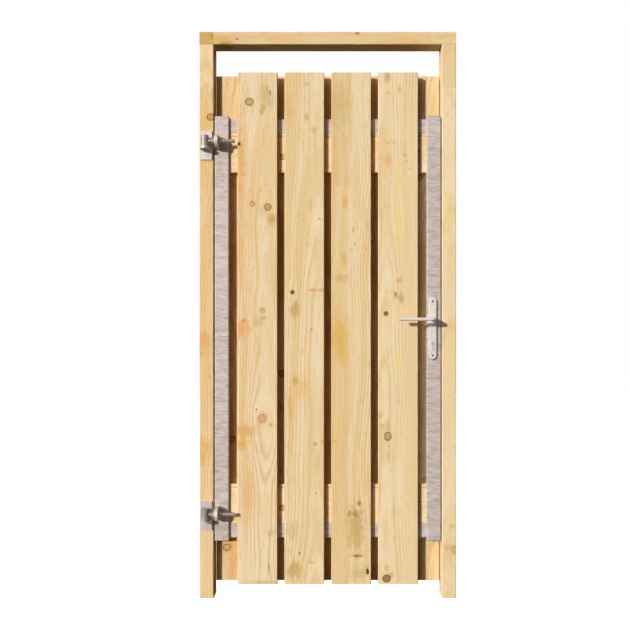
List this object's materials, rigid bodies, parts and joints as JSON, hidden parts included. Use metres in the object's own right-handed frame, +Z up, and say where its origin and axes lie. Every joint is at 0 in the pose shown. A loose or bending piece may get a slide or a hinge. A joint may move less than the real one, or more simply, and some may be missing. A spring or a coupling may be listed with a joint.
{
  "type": "garden gate",
  "caption": "Framed softwood garden gate with a boarded leaf on galvanised steel stiles, pintle hinges, lever handles and a cylinder lock.",
  "frame": {"origin": "on the floor, midway between the jambs and at the middle of their depth", "axes": "+X from the hinge side to the lock side, -Y the front that the leaf opens to, +Z up"},
  "size_m": [0.906, 0.182, 2],
  "materials": {
    "timber": "planed, unpainted pine",
    "galvanised_steel": "hot-dip galvanised",
    "zinc_plated_steel": "zinc plated",
    "satin_stainless": "satin",
    "hinge_steel": "turned, oiled",
    "nickel_brass": "nickel plated",
    "grey_plastic": "matt",
    "black_steel": "black oxide"
  },
  "bodies": {
    "door_frame": {"left_jamb": "timber", "right_jamb": "timber", "left_jamb_extension": "timber", "right_jamb_extension": "timber", "lintel": "timber", "jamb_dowels": "timber", "lintel_screws": "zinc_plated_steel", "upper_pintle_plate": "zinc_plated_steel", "lower_pintle_plate": "zinc_plated_steel", "upper_pintle_pin": "hinge_steel", "lower_pintle_pin": "hinge_steel", "pintle_plate_screws": "zinc_plated_steel", "strike_plate": "satin_stainless", "strike_screws": "zinc_plated_steel"},
    "leaf": {"hinge_stile": "galvanised_steel", "lock_stile": "galvanised_steel", "top_steel_rail": "galvanised_steel", "bottom_steel_rail": "galvanised_steel", "stile_end_caps": "grey_plastic", "top_timber_rail": "timber", "bottom_timber_rail": "timber", "front_board_1": "timber", "front_board_2": "timber", "front_board_3": "timber", "front_board_4": "timber", "back_board_1": "timber", "back_board_2": "timber", "back_board_3": "timber", "back_board_4": "timber", "back_board_5": "timber", "front_board_screws": "zinc_plated_steel", "back_board_screws": "zinc_plated_steel", "steel_frame_screws": "zinc_plated_steel", "upper_hinge_lug": "galvanised_steel", "lower_hinge_lug": "galvanised_steel", "upper_eye_bolt": "hinge_steel", "lower_eye_bolt": "hinge_steel", "upper_hinge_nuts": "hinge_steel", "lower_hinge_nuts": "hinge_steel", "lock_case": "zinc_plated_steel", "lock_forend": "satin_stainless", "forend_screws": "zinc_plated_steel", "latch_spring": "zinc_plated_steel", "cylinder_body": "nickel_brass", "cylinder_screw": "zinc_plated_steel", "front_escutcheon": "satin_stainless", "back_escutcheon": "satin_stainless", "escutcheon_bolts": "black_steel"},
    "lever_set": {"front_lever": "satin_stainless", "back_lever": "satin_stainless", "spindle": "zinc_plated_steel", "follower": "zinc_plated_steel", "lever_grub_screws": "black_steel"},
    "latch": {"latch_bolt": "satin_stainless"},
    "cylinder_core": {"cylinder_plug": "nickel_brass", "cylinder_cam": "nickel_brass"},
    "bolt": {"dead_bolt": "satin_stainless"}
  },
  "joints": [
    {"name": "gate_swing", "type": "hinge", "parent": "door_frame", "child": "leaf", "pos_m": [-0.43, -0.058, 0.953], "axis": [0, 0, -1], "range_deg": [0, 170]},
    {"name": "lever_turn", "type": "hinge", "parent": "leaf", "child": "lever_set", "pos_m": [0.37, -0.017, 0.985], "axis": [0, -1, 0], "range_deg": [0, 40], "stiffness_Nm_per_rad": 1.5, "springref_deg": -20.05},
    {"name": "latch_slide", "type": "slide", "parent": "leaf", "child": "latch", "axis": [-1, 0, 0], "range_m": [0, 0.0105], "deforming": ["latch_spring"]},
    {"name": "key_turn", "type": "hinge", "parent": "leaf", "child": "cylinder_core", "pos_m": [0.37, -0.017, 0.9], "axis": [0, 1, 0], "range_deg": [0, 360]},
    {"name": "bolt_slide", "type": "slide", "parent": "leaf", "child": "bolt", "axis": [1, 0, 0], "range_m": [0, 0.014]}
  ],
  "couplings": [
    {"joint": "latch_slide", "follows": "lever_turn", "m_per_rad": 0.01475},
    {"joint": "bolt_slide", "follows": "key_turn", "m_per_rad": 0.002228}
  ]
}
